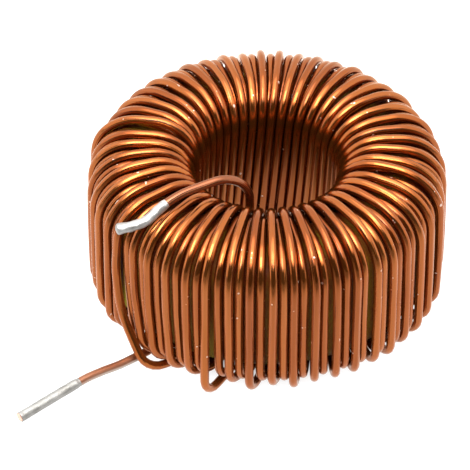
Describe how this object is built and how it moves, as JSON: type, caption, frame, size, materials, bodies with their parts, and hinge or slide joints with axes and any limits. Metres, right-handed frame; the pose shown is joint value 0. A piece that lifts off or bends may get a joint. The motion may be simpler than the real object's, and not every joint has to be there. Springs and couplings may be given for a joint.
{
  "type": "toroidal inductor",
  "caption": "Toroidal inductor: a coated ring core wound all the way round with enamelled copper wire, its two leads brought out at one side and tinned for soldering.",
  "frame": {"origin": "on the ring's axis, at the level of the lowest turns", "axes": "+Z along the ring's axis, up as it lies; -Y towards the viewer, with both leads leaving towards -X -Y"},
  "size_m": [0.0345, 0.0319, 0.0164],
  "materials": {
    "core_coat": "satin coat, olive yellow",
    "enamelled_copper": "copper under a clear brown enamel, glossy",
    "solder": "dull, slightly uneven solder"
  },
  "bodies": {
    "root": {"core": "core_coat", "winding": "enamelled_copper", "upper_solder_tip": "solder", "lower_solder_tip": "solder"}
  },
  "joints": []
}
